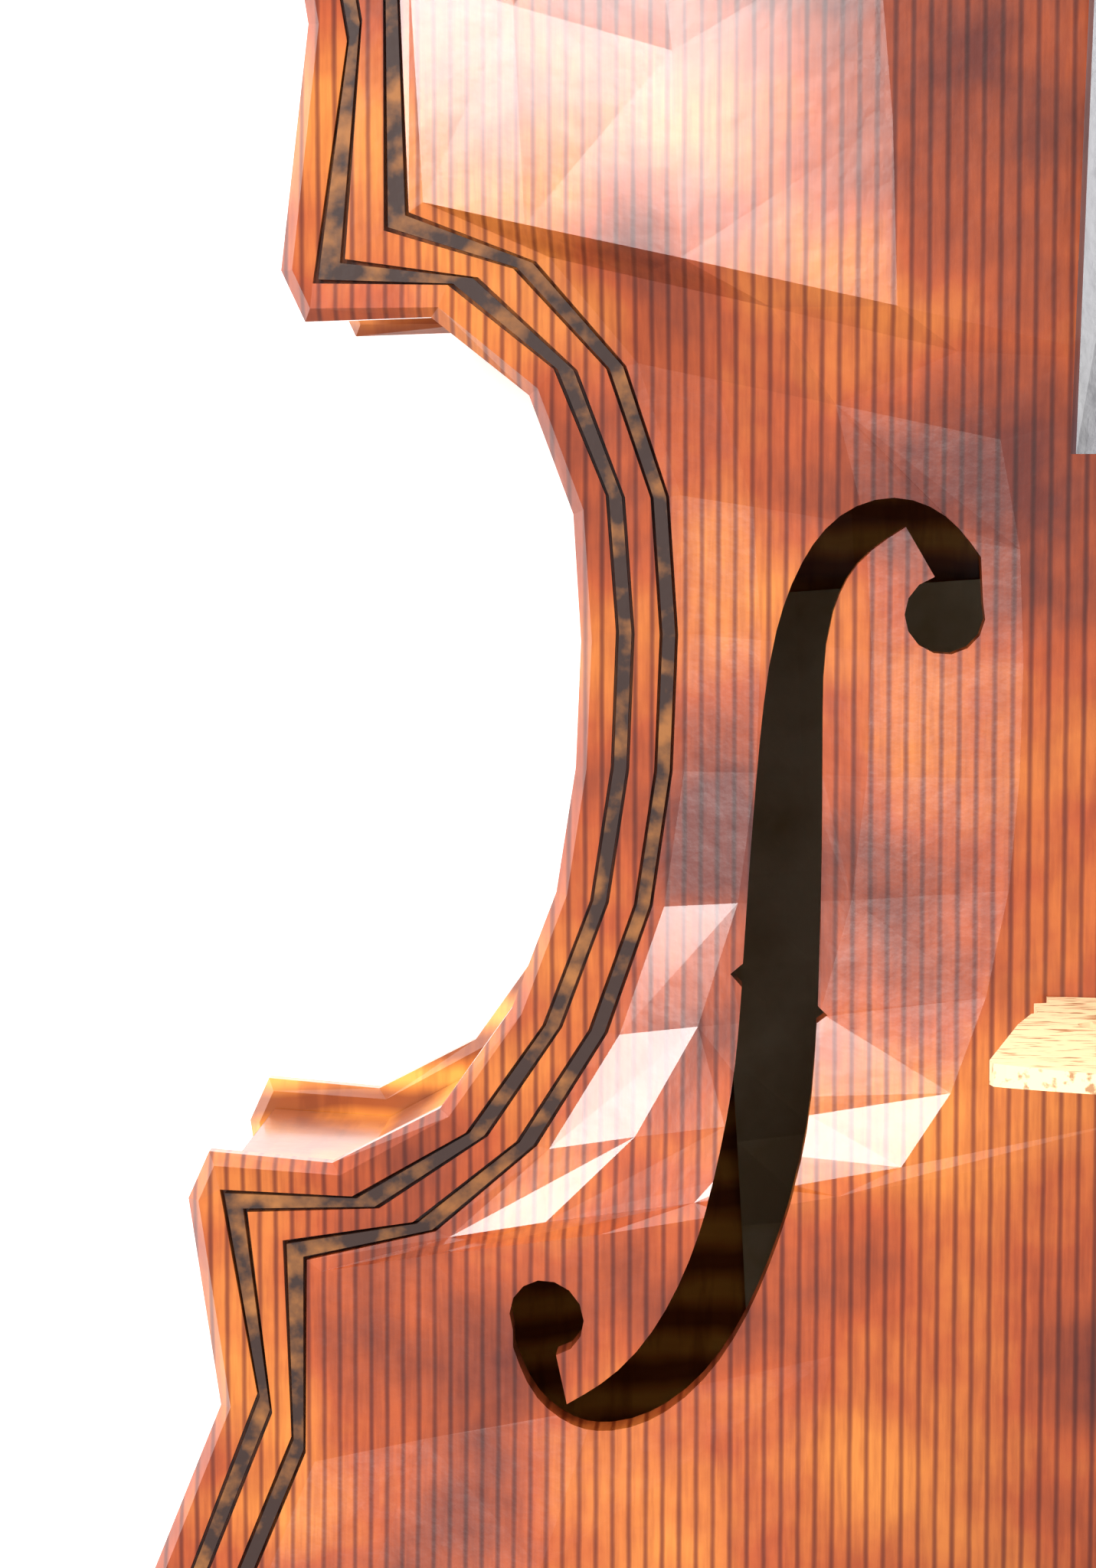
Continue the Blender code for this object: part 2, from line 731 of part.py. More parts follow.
def make_bass_bar(under_top, material):
    """A long bar glued along the bass side under the top, tapering to its ends."""
    rings = []
    for share in np.linspace(0, 1, 15):
        y = BAR_FOOT + share * (BAR_TOP - BAR_FOOT)
        x = BAR_OFFSET_FOOT + share * (BAR_OFFSET_TOP - BAR_OFFSET_FOOT)
        height = BAR_END_HEIGHT + (BAR_HEIGHT - BAR_END_HEIGHT) * math.sin(math.pi * share)
        edges = (x - BAR_WIDTH / 2, x + BAR_WIDTH / 2)
        tops = [under_top(edge, y) - GAP for edge in edges]
        foot = min(tops) - height
        rings.append(
            [(edges[0], y, foot), (edges[1], y, foot), (edges[1], y, tops[1]), (edges[0], y, tops[0])]
        )
    return loft("bass_bar", rings, material)


def make_sound_post(under_top, over_back, material):
    """A dowel wedged between the plates, behind the bridge's treble foot."""
    plan = arc_points((POST_OFFSET, -POST_BEHIND), POST_RADIUS, 0, 330, 11)
    low = [(x, y, over_back(x, y) + GAP) for x, y in plan]
    high = [(x, y, under_top(x, y) - GAP) for x, y in plan]
    return loft("sound_post", [low, high], material)


def make_label(over_back, material, columns=6, rows=8):
    """A blank paper label glued inside the back, under the bass sound hole."""
    turn = np.array(
        [[math.cos(LABEL_TURN), -math.sin(LABEL_TURN)], [math.sin(LABEL_TURN), math.cos(LABEL_TURN)]]
    )
    rings = []
    for v in np.linspace(-0.5, 0.5, rows + 1):
        low, high = [], []
        for u in np.linspace(-0.5, 0.5, columns + 1):
            x, y = turn @ (u * LABEL_WIDTH, v * LABEL_HEIGHT) + LABEL_CENTRE
            around = [(x + a, y + b) for a in (-0.006, 0, 0.006) for b in (-0.006, 0, 0.006)]
            z = max(over_back(*place) for place in around) + GAP
            low.append((x, y, z))
            high.append((x, y, z + LABEL_PAPER))
        rings.append(low + high[::-1])
    return loft("label", rings, material)


def board_half(y):
    return BOARD_END_HALF - BOARD_TAPER * (y - BOARD_END)


def board_sagitta(half):
    return BOARD_RADIUS - math.sqrt(BOARD_RADIUS**2 - half**2)


def board_crown(y):
    """Height of the fingerboard's playing surface on the centre line."""
    end = TOP_LINE + BOARD_CORNER_RISE + board_sagitta(BOARD_END_HALF)
    return end - (y - BOARD_END) * math.tan(BOARD_SLOPE)


def board_under(y):
    return board_crown(y) - board_sagitta(board_half(y)) - BOARD_EDGE


def neck_top(y):
    return board_under(y) - GAP


def crowned_section(y, half, crown, radius, floor, steps=8):
    """A flat-bottomed section at one place along the neck, its top an arc."""
    sweep = math.asin(half / radius)
    arc = []
    for angle in np.linspace(-sweep, sweep, steps + 1):
        arc.append((radius * math.sin(angle), y, crown - radius * (1 - math.cos(angle))))
    return [*arc, (half, y, floor), (-half, y, floor)]


def make_fingerboard(material):
    rings = []
    for y in np.linspace(BOARD_END, NUT_LINE - GAP, 9):
        rings.append(crowned_section(y, board_half(y), board_crown(y), BOARD_RADIUS, board_under(y)))
    return loft("fingerboard", rings, material)


def nut_crown(y):
    return board_crown(NUT_LINE) + NUT_RISE - (y - NUT_LINE) * math.tan(BOARD_SLOPE)


def make_nut(material):
    rings = []
    for y in (NUT_LINE, NUT_LINE + NUT_LENGTH):
        half = board_half(NUT_LINE)
        rings.append(crowned_section(y, half, nut_crown(y), BOARD_RADIUS, neck_top(NUT_LINE) + GAP))
    return loft("nut", rings, material)


def heel_rings(clearance, levels=7, steps=8):
    """Level sections of the neck's heel, from the back's button to the fingerboard."""
    rings = []
    top_half = board_half(BODY_TOP) - GAP
    root = BODY_TOP - ROOT_DEPTH - clearance
    for t in np.linspace(0, 1, levels):
        half = HEEL_FOOT_HALF + t * (top_half - HEEL_FOOT_HALF) + clearance
        nose = BODY_TOP + HEEL_NOSE + HEEL_SWEEP * t**4
        plan = [(-half, root)]
        for a in np.linspace(0, math.pi, steps + 1):
            plan.append((-half * math.cos(a), BODY_TOP + (nose - BODY_TOP) * math.sin(a)))
        plan.append((half, root))
        floor = RIB_LOW + GAP - clearance
        rings.append([(x, y, floor + t * (neck_top(y) - floor)) for x, y in plan])
    return rings


def neck_depth(y):
    """Thickness of the neck's wood under the fingerboard."""
    behind_nut = y - (NUT_LINE - 0.014)
    chin = min(max(behind_nut / 0.021, 0.0), 1.0)
    swell = min(max((BODY_TOP + 0.045 - y) / 0.04, 0.0), 1.0)
    return NECK_DEPTH + 0.004 * swell + (CHIN_DEPTH - NECK_DEPTH) * chin**2


def shaft_ring(y, steps=8):
    half = board_half(y) - GAP
    top = neck_top(y)
    ring = [(-half, y, top)]
    for a in np.linspace(0, math.pi, steps + 1):
        drop = neck_depth(y) * math.sin(a) ** 0.8 + 0.0012
        ring.append((-half * math.cos(a), y, top - drop))
    ring.append((half, y, top))
    return ring


def box_start():
    return NUT_LINE + NUT_LENGTH + GAP


def box_half(y):
    share = (y - box_start()) / (THROAT_REACH - NUT_LENGTH)
    return BOX_HALF + (THROAT_HALF - BOX_HALF) * share


def box_top(y):
    share = (y - box_start()) / (NUT_LINE + THROAT_REACH - box_start())
    return CHEEK_TOP + (THROAT_TOP - CHEEK_TOP) * share


def box_floor(y):
    """Underside of the pegbox: a line from the chin to the lowest point of the scroll."""
    start = neck_top(NUT_LINE) - CHIN_DEPTH
    share = (y - NUT_LINE) / SCROLL_REACH
    return start * (1 - share)


def box_ring(y, bevel=0.0025):
    half, top, low = box_half(y), box_top(y), box_floor(y)
    return [
        (-half, y, top), (half, y, top), (half, y, low + bevel), (half - bevel, y, low),
        (bevel - half, y, low), (-half, y, low + bevel),
    ]


def make_pegbox(material):
    ys = np.linspace(box_start(), NUT_LINE + THROAT_REACH + 0.006, 7)
    return loft("pegbox_body", [box_ring(y) for y in ys], material)


def make_box_cutter():
    """The slot between the cheeks that the strings run down into."""
    start = box_start() + 0.0008
    end = NUT_LINE + THROAT_REACH - 0.005
    rings = []
    for y in np.linspace(start, end, 5):
        half, low = box_half(y) - BOX_WALL, box_floor(y) + BOX_FLOOR
        top = box_top(y) + 0.01
        rings.append([(-half, y, low), (half, y, low), (half, y, top), (-half, y, top)])
    return as_cutter(loft("pegbox_cutter", rings, bpy.data.materials["ebony"]))


def scroll_half(theta):
    """Half the scroll's width along its spiral, from the back of the head to the eye."""
    turns = theta / (2 * math.pi)
    marks = (0, 0.25, 0.5, 0.75, 1.0, 1.25, 1.5)
    halves = (0.0088, 0.0074, 0.0066, 0.0068, 0.0104, 0.0128, 0.0158)
    return float(np.interp(turns, marks, halves))


def scroll_point(theta, half):
    radius = SCROLL_RADIUS * math.exp(-SCROLL_DECAY * theta)
    y = NUT_LINE + SCROLL_REACH + radius * math.sin(theta)
    return (half, y, SCROLL_RADIUS - radius * math.cos(theta))


def make_scroll(material):
    """The volute: one wall that winds inwards and outwards to the eyes on both sides."""
    last = int(SCROLL_TURNS * TURN_STEPS)
    thetas = [2 * math.pi * i / TURN_STEPS for i in range(last + 1)]
    bm = bmesh.new()
    sides = []
    for sign in (-1, 1):
        crest = [bm.verts.new(scroll_point(t, sign * scroll_half(t))) for t in thetas]
        base = [None] * len(thetas)
        for i in range(TURN_STEPS, last + 1):
            if i == last:
                base[i] = crest[i]
                continue
            before = scroll_half(thetas[i - TURN_STEPS])
            base[i] = bm.verts.new(scroll_point(thetas[i], sign * before))
        centre = scroll_point(60.0, sign * scroll_half(thetas[last]))
        sides.append((crest, base, bm.verts.new(centre)))
    (left, left_base, left_eye), (right, right_base, right_eye) = sides
    first = TURN_STEPS
    for i in range(first - 1):
        bm.faces.new((left[i], left[i + 1], right[i + 1], right[i]))
    bm.faces.new(
        (left[first - 1], left[first], left_base[first], right_base[first], right[first], right[first - 1])
    )
    bm.faces.new((left[0], right[0], right_base[first], left_base[first]))
    for crest, base, eye in ((left, left_base, left_eye), (right, right_base, right_eye)):
        for i in range(first, last):
            corners = [base[i], base[i + 1], crest[i + 1], crest[i]]
            bm.faces.new(list(dict.fromkeys(corners)))
        for i in range(last - first):
            bm.faces.new((crest[i], crest[i + 1], base[i + 1 + first], base[i + first]))
        start = last - first
        bm.faces.new((crest[start], crest[start + 1], eye, crest[last]))
        for i in range(start + 1, last):
            bm.faces.new((crest[i], crest[i + 1], eye))
    return add_object("scroll_body", bm, material)


def make_eye_boss(material):
    centre = (NUT_LINE + SCROLL_REACH, SCROLL_RADIUS)
    plan = arc_points(centre, EYE_BOSS_RADIUS, 0, 330, 11)
    ends = (-EYE_BOSS_HALF, EYE_BOSS_HALF)
    return loft("scroll_eye_boss", [[(x, y, z) for y, z in plan] for x in ends], material)


def peg_place(reach):
    y = NUT_LINE + reach
    return y, (box_top(y) + box_floor(y)) / 2 + PEG_LIFT


def peg_shaft_radius(x, side):
    """The peg tapers away from its head, and its hole with it."""
    return PEG_RADIUS + PEG_TAPER * side * x / 2


def ring_about_x(x, tall, thick, turn=0.0):
    ring = []
    for a in np.linspace(0, 2 * math.pi, PEG_SIDES, endpoint=False):
        y, z = thick * math.cos(a), tall * math.sin(a)
        ring.append(
            (x, y * math.cos(turn) - z * math.sin(turn), y * math.sin(turn) + z * math.cos(turn))
        )
    return ring


def make_peg(name, reach, side, turn, material):
    """A tapered shaft through both cheeks, a turned collar and a flat thumb."""
    y, z = peg_place(reach)
    cheek = box_half(y)
    shoulder = cheek + PEG_COLLAR_GAP
    shaft = [(-cheek - 0.0015, None), (0.0, None), (shoulder, None)]
    head = [
        (shoulder, 0.0062, 0.0062), (shoulder + 0.0022, 0.0062, 0.0062),
        (shoulder + 0.0026, 0.0038, 0.0038), (shoulder + 0.0050, 0.0044, 0.0036),
        (shoulder + 0.0080, 0.0095, 0.0040), (shoulder + 0.0130, 0.0122, 0.0042),
        (shoulder + 0.0185, 0.0118, 0.0038), (shoulder + 0.0230, 0.0075, 0.0030),
        (shoulder + 0.0246, 0.0030, 0.0022),
    ]
    rings = []
    for x, _ in shaft:
        radius = peg_shaft_radius(x, 1)
        rings.append(ring_about_x(side * x, radius, radius))
    for x, tall, thick in head:
        rings.append(ring_about_x(side * x, tall, thick, math.radians(turn)))
    return loft(name, rings, material, (0, y, z))


def make_peg_cutter(name, reach, side):
    y, z = peg_place(reach)
    rings = []
    for x in (-0.02, 0.02):
        radius = (peg_shaft_radius(x, side) + GAP) / math.cos(math.pi / PEG_SIDES)
        rings.append([(px, y + py, z + pz) for px, py, pz in ring_about_x(x, radius, radius)])
    return as_cutter(loft(f"{name}_hole", rings, bpy.data.materials["ebony"]))


def make_neck(material):
    """Neck, heel, pegbox and scroll, carved from one piece."""
    ys = np.concatenate(
        [
            np.linspace(BODY_TOP + 0.004, NUT_LINE - 0.016, 7),
            np.linspace(NUT_LINE - 0.012, box_start() + 0.0015, 6),
        ]
    )
    neck = loft("neck_and_scroll", [shaft_ring(y) for y in ys], material)
    heel = loft("heel_body", heel_rings(0.0), material)
    unite(neck, heel, make_pegbox(material), make_scroll(material), make_eye_boss(material))
    cut(neck, make_box_cutter(), solver="MANIFOLD")
    for name, (reach, side, _) in PEGS.items():
        cut(neck, make_peg_cutter(name, reach, side), solver="MANIFOLD")
    return neck


def bridge_crown(x):
    """Height of the bridge's crown, where the strings cross it."""
    drop = BRIDGE_CROWN_RADIUS - math.sqrt(BRIDGE_CROWN_RADIUS**2 - x**2)
    return TOP_LINE + BRIDGE_CROWN - drop


def bridge_face(sign):
    """Depth of the bridge's face at a height: it thins evenly from the feet to the crown."""
    low = TOP_LINE + BRIDGE_ARCH[-1][1] * MM - 0.004
    high = TOP_LINE + BRIDGE_CROWN

    def depth(z):
        share = (z - low) / (high - low)
        return sign * (BRIDGE_FOOT_THICK + (BRIDGE_CROWN_THICK - BRIDGE_FOOT_THICK) * share) / 2

    return depth


def piercing(name, outline, sides):
    """A straight cut through the bridge with a smooth closed outline."""
    knots = [*outline, outline[0]]
    smooth = smooth_curve(knots, span_points=3)[:-1]
    points = [(sides * x * MM, TOP_LINE + z * MM) for x, z in smooth]
    reach = BRIDGE_FOOT_THICK
    cutter = wall(name, points, lambda z: -reach, lambda z: reach, bpy.data.materials["ebony"])
    return as_cutter(cutter)


def make_bridge(over_top, material):
    xs = np.linspace(BRIDGE_FOOT_INNER, BRIDGE_FOOT_OUTER, 4)
    foot = [(x * MM, over_top(x * MM, 0) + GAP * 1.3) for x in xs]
    arch = [(x * MM, TOP_LINE + z * MM) for x, z in BRIDGE_ARCH]
    side = [(x * MM, TOP_LINE + z * MM) for x, z in BRIDGE_SIDE]
    crown = [(x * MM, bridge_crown(x * MM)) for x in (26, 22, 18, 14, 10, 5)]
    half = arch[1:] + foot + side + crown
    outline = [arch[0], *half, (0, bridge_crown(0)), *mirrored(half[::-1])]
    bridge = wall("bridge", outline, bridge_face(-1), bridge_face(1), material)
    heart = HEART + mirrored(HEART[1:-1])[::-1]
    heart = [heart[0], *HEART[1:], *mirrored(HEART[1:-1])[::-1]]
    cut(bridge, piercing("heart_cutter", heart, 1))
    cut(bridge, piercing("bass_kidney_cutter", KIDNEY, -1))
    cut(bridge, piercing("treble_kidney_cutter", KIDNEY, 1))
    return bridge


def tail_top(y):
    share = (y - TAIL_FRONT) / (TAIL_BACK - TAIL_FRONT)
    return TOP_LINE + TAIL_FRONT_RISE + (TAIL_BACK_RISE - TAIL_FRONT_RISE) * share


def tail_half(y):
    """Half the tailpiece's width: rounded at the string end, narrow at the gut."""
    share = (y - TAIL_FRONT) / (TAIL_BACK - TAIL_FRONT)
    straight = TAIL_FRONT_HALF + (TAIL_BACK_HALF - TAIL_FRONT_HALF) * share
    front = min(share / 0.05, 1.0)
    return straight * (0.86 + 0.14 * math.sin(front * math.pi / 2))


def tail_ring(y, steps=8):
    half, top = tail_half(y), tail_top(y)
    ring = []
    for u in np.linspace(-1, 1, steps + 1):
        ring.append((half * u, y, top - TAIL_CROWN * u * u))
    return [*ring, (half * 0.9, y, top - TAIL_THICK), (-half * 0.9, y, top - TAIL_THICK)]


def fret_top(x):
    return tail_top(FRET_LINE) - TAIL_CROWN * (x / tail_half(FRET_LINE)) ** 2 + FRET_RISE


def make_tailpiece(material):
    shares = (0, 0.015, 0.035, 0.06, 0.3, 0.6, 0.85, 1.0)
    ys = [TAIL_FRONT + (TAIL_BACK - TAIL_FRONT) * share for share in shares]
    tail = loft("tailpiece", [tail_ring(y) for y in ys], material)
    half = TAIL_SPACING * 1.5 + 0.0025
    rings = []
    for x in np.linspace(-half, half, 9):
        top, low = fret_top(x), fret_top(x) - FRET_RISE - 0.001
        rings.append(
            [(x, FRET_LINE - 0.0011, low), (x, FRET_LINE + 0.0011, low), (x, FRET_LINE, top)]
        )
    unite(tail, loft("tail_fret", rings, material))
    for name, (_, place, _) in STRINGS.items():
        plan = arc_points((place * TAIL_SPACING, STRING_HOLE_LINE), STRING_HOLE_RADIUS, 0, 315, 7)
        top = tail_top(STRING_HOLE_LINE)
        cut(tail, as_cutter(prism(f"{name}_hole", plan, top - 0.02, top + 0.01, material)))
    return tail


def make_tail_gut(material):
    """One cord from the tailpiece, over the saddle, round the end button and back."""
    side = BUTTON_NECK + GAP + GUT_RADIUS
    pin = (RIB_LOW + RIB_HIGH) / 2
    edge = BODY_FOOT - GUT_RADIUS - GAP
    crest = TOP_LINE + SADDLE_RISE + GAP + GUT_RADIUS
    start = tail_top(TAIL_BACK) - TAIL_THICK / 2
    half = [
        (-side, TAIL_BACK - GAP, start),
        (-side, TAIL_BACK - 0.0022, (start + crest) / 2 + 0.0002),
        (-side, BODY_FOOT + 0.0035, crest + 0.0005),
        (-side, BODY_FOOT + 0.0008, crest + 0.0002),
        (-side, edge - 0.0009, crest - 0.0026),
        (-side, edge - 0.0010, crest - 0.0080),
        (-side, edge - 0.0010, pin + 0.010),
        (-side, edge - 0.0010, pin + 0.004),
    ]
    under = []
    for a in np.radians((200, 225, 250)):
        under.append((side * math.cos(a), edge - 0.0010, pin + side * math.sin(a)))
    half += under
    knots = [*half, (0, edge - 0.0010, pin - side), *mirrored(half)[::-1]]
    return make_cord("tail_gut", smooth_curve(knots, span_points=2), GUT_RADIUS, material)


def make_cord(name, points, radius, material, bevel=2):
    """A round cord along a row of points, its ends filled."""
    curve = bpy.data.curves.new(name, "CURVE")
    curve.dimensions = "3D"
    curve.bevel_depth = radius
    curve.bevel_resolution = bevel
    curve.use_fill_caps = True
    spline = curve.splines.new("POLY")
    spline.points.add(len(points) - 1)
    for target, point in zip(spline.points, points):
        target.co = (*point, 1.0)
    curve.materials.append(material)
    obj = bpy.data.objects.new(name, curve)
    bpy.context.scene.collection.objects.link(obj)
    return obj


def winding(peg, radius, entry):
    """Loops of string round a peg, from its top and away from the nut."""
    reach, side, _ = PEGS[peg]
    y, z = peg_place(reach)
    turn_radius = PEG_RADIUS + GAP * 2 + radius
    pitch = 2 * radius + WINDING_SPACE
    points = []
    for i in range(WINDING_LOOPS * LOOP_POINTS + 1):
        turn = i / LOOP_POINTS
        angle = math.pi / 2 - 2 * math.pi * turn
        x = entry + side * pitch * turn
        points.append((x, y - turn_radius * math.cos(math.pi - angle), z + turn_radius * math.sin(angle)))
    gap = pitch - 2 * radius
    print(f"{peg} winding: least gap to itself {gap / MM:.2f} mm")
    return points


def make_string(name, peg, place, radius, material):
    """One string: tailpiece hole, fret, bridge, nut, and its winding on the peg."""
    reach, side, _ = PEGS[peg]
    rise = GAP + radius
    tail_x, bridge_x, nut_x = (place * space for space in (TAIL_SPACING, BRIDGE_SPACING, NUT_SPACING))
    hole_top = tail_top(STRING_HOLE_LINE) - TAIL_CROWN * (tail_x / tail_half(STRING_HOLE_LINE)) ** 2
    nut_end = NUT_LINE + NUT_LENGTH
    nut_drop = board_sagitta(abs(nut_x))
    entry = nut_x * WINDING_DRAW
    bend = [
        (tail_x, STRING_HOLE_LINE, hole_top - 0.0022),
        (tail_x, STRING_HOLE_LINE, hole_top + 0.0006),
        (tail_x, STRING_HOLE_LINE + 0.0012, hole_top + 0.0016),
        (tail_x, (STRING_HOLE_LINE + FRET_LINE) / 2, (hole_top + fret_top(tail_x) + rise) / 2 + 0.0010),
        (tail_x, FRET_LINE, fret_top(tail_x) + rise),
    ]
    route = [
        *bend,
        (bridge_x, 0.0, bridge_crown(bridge_x) + rise),
        (nut_x, NUT_LINE, nut_crown(NUT_LINE) - nut_drop + rise),
        (nut_x, nut_end + GAP, nut_crown(nut_end) - nut_drop + rise),
    ]
    loops = winding(peg, radius, entry)
    return make_cord(name, [*route, *loops], radius, material, bevel=1)


def lathe_rings(profile, centre_z, steps=16):
    """Rings about a level axis along Y through the centre line."""
    rings = []
    for y, radius in profile:
        ring = []
        for a in np.linspace(0, 2 * math.pi, steps, endpoint=False):
            ring.append((radius * math.cos(a), y, centre_z + radius * math.sin(a)))
        rings.append(ring)
    return rings


def make_end_button(material):
    """The turned button that the tail gut hooks on, its pin let into the lower block."""
    rib = BODY_FOOT + OVERHANG
    neck = BODY_FOOT - 2 * GUT_RADIUS - 3 * GAP
    profile = [
        (rib + 0.0150, PIN_RADIUS * 0.9), (rib - GAP, PIN_RADIUS), (rib - GAP, 0.0072),
        (rib - 0.0024, 0.0074), (BODY_FOOT + 0.0001, BUTTON_NECK), (neck - 0.0016, BUTTON_NECK),
        (neck - 0.0026, END_BUTTON_RADIUS * 0.93), (neck - 0.0052, END_BUTTON_RADIUS),
        (neck - 0.0078, END_BUTTON_RADIUS * 0.93), (neck - 0.0092, END_BUTTON_RADIUS * 0.72),
    ]
    return loft("end_button", lathe_rings(profile, (RIB_LOW + RIB_HIGH) / 2), material)


def make_pin_cutter():
    rib = BODY_FOOT + OVERHANG
    radius = (PIN_RADIUS + GAP) / math.cos(math.pi / 16)
    profile = [(rib + 0.0320, radius), (rib - 0.0050, radius)]
    cutter = loft("pin_hole", lathe_rings(profile, (RIB_LOW + RIB_HIGH) / 2), bpy.data.materials["ebony"])
    return as_cutter(cutter)


def make_saddle(material):
    """The ebony sill that carries the tail gut over the top's edge."""
    front = BODY_FOOT + 0.0004
    back = BODY_FOOT + SADDLE_DEPTH
    low = RIB_HIGH
    high = TOP_LINE + SADDLE_RISE
    outline = []
    for u in np.linspace(-1, 1, 11):
        outline.append((SADDLE_HALF * u, high - SADDLE_RISE * 0.75 * abs(u) ** 3))
    outline += [(SADDLE_HALF, low), (-SADDLE_HALF, low)]
    return wall("saddle", outline, lambda z: front, lambda z: back, material)


def make_saddle_cutter():
    depth = SADDLE_DEPTH + GAP + 0.01
    centre = (0, BODY_FOOT + SADDLE_DEPTH + GAP - depth / 2, TOP_LINE)
    return plain_box("saddle_notch", centre, (2 * (SADDLE_HALF + GAP), depth, 4 * TOP_EDGE))


def build():
    clear_scene()
    for material in list(bpy.data.materials):
        bpy.data.materials.remove(material)
    wood = make_materials()
    bpy.data.materials["ebony"].use_fake_user = False

    heel_cutter = as_cutter(loft("heel_cutter", heel_rings(GAP), wood["ebony"]))
    saddle_cutter = make_saddle_cutter()
    pin_cutter = make_pin_cutter()

    top = make_plate(
        "top_plate", TOP_LINE, 1, TOP_EDGE, TOP_ARCH, TOP_CROWN, TOP_WOOD, wood["spruce"]
    )
    back_rise = BACK_ARCH + REST_CUT
    back = make_plate(
        "back_plate", BACK_LINE, -1, BACK_EDGE, back_rise, BACK_CROWN, BACK_WOOD, wood["maple"]
    )
    find_top = surface_finder(top)
    find_back = surface_finder(back)
    middle = (RIB_LOW + RIB_HIGH) / 2

    def under_top(x, y):
        return find_top(x, y, middle, 1)

    def over_top(x, y):
        return find_top(x, y, TOP_LINE + 0.1, -1)

    def over_back(x, y):
        return find_back(x, y, middle, -1)

    cut(top, *make_sound_hole_cutters(), heel_cutter, saddle_cutter)
    make_button(back)

    ribs = make_ribs(wood["maple"])
    for rib in ribs["upper_rib"]:
        cut(rib, heel_cutter)
    for rib in ribs["lower_rib"]:
        cut(rib, pin_cutter)
    make_linings(wood["bare_spruce"])
    make_corner_blocks(wood["bare_spruce"])
    upper_block, lower_block = make_end_blocks(wood["bare_spruce"])
    cut(upper_block, heel_cutter)
    cut(lower_block, pin_cutter)
    make_purfling(wood["purfling"], heel_cutter, saddle_cutter)

    make_bass_bar(under_top, wood["bare_spruce"])
    make_sound_post(under_top, over_back, wood["bare_spruce"])
    make_label(over_back, wood["paper"])

    make_neck(wood["maple"])
    make_fingerboard(wood["ebony"])
    make_nut(wood["ebony"])
    for name, (reach, side, turn) in PEGS.items():
        make_peg(name, reach, side, turn, wood["ebony"])
    make_bridge(over_top, wood["bridge_maple"])
    make_tailpiece(wood["ebony"])
    make_tail_gut(wood["gut"])
    make_end_button(wood["ebony"])
    make_saddle(wood["ebony"])
    for name, (peg, place, radius) in STRINGS.items():
        make_string(name, peg, place, radius, wood["string"])


build()
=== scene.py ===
"""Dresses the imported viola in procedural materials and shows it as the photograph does."""

import json

import bpy
from mathutils import Matrix, Vector


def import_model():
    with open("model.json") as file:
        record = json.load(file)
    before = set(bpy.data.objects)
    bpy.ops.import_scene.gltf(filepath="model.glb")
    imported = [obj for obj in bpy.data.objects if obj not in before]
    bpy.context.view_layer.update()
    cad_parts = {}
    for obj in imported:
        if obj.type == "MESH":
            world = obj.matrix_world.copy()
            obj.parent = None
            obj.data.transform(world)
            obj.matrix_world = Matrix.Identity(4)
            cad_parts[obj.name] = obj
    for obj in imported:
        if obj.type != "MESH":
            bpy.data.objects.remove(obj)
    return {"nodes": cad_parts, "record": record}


bl_info = {
    "name": "Viola looks",
    "version": (1, 0, 0),
    "blender": (4, 5, 0),
    "location": "View3D > Sidebar > Viola",
    "description": "Varnish, wood and studio light for a packed viola",
    "category": "Object",
}

CAMERA_PLACE = (-0.049, 0.0514, 0.4065)
CAMERA_SIGHT = (-0.06324, -0.09105, -1.0)
LIGHTS = {
    "key": ((-0.9, 0.5, 1.1), 0.7, 26.0),
    "fill": ((0.9, -0.6, 1.0), 0.9, 12.0),
    "back": ((0.2, 1.1, 0.6), 0.8, 14.0),
}
TARGET = Vector((-0.05, 0.0, 0.06))


class ViolaWood(bpy.types.PropertyGroup):
    grain_gap: bpy.props.FloatProperty(
        name="Grain gap", description="Space between spruce year rings", default=0.0016, unit="LENGTH"
    )
    flame_gap: bpy.props.FloatProperty(
        name="Flame gap", description="Space between maple flames", default=0.0065, unit="LENGTH"
    )


class ViolaStage(bpy.types.PropertyGroup):
    lens: bpy.props.FloatProperty(
        name="Lens", description="Focal length of the camera in millimetres", default=82.5
    )
    floor_size: bpy.props.FloatProperty(
        name="Floor size", description="Side of the square floor", default=12.0, unit="LENGTH"
    )


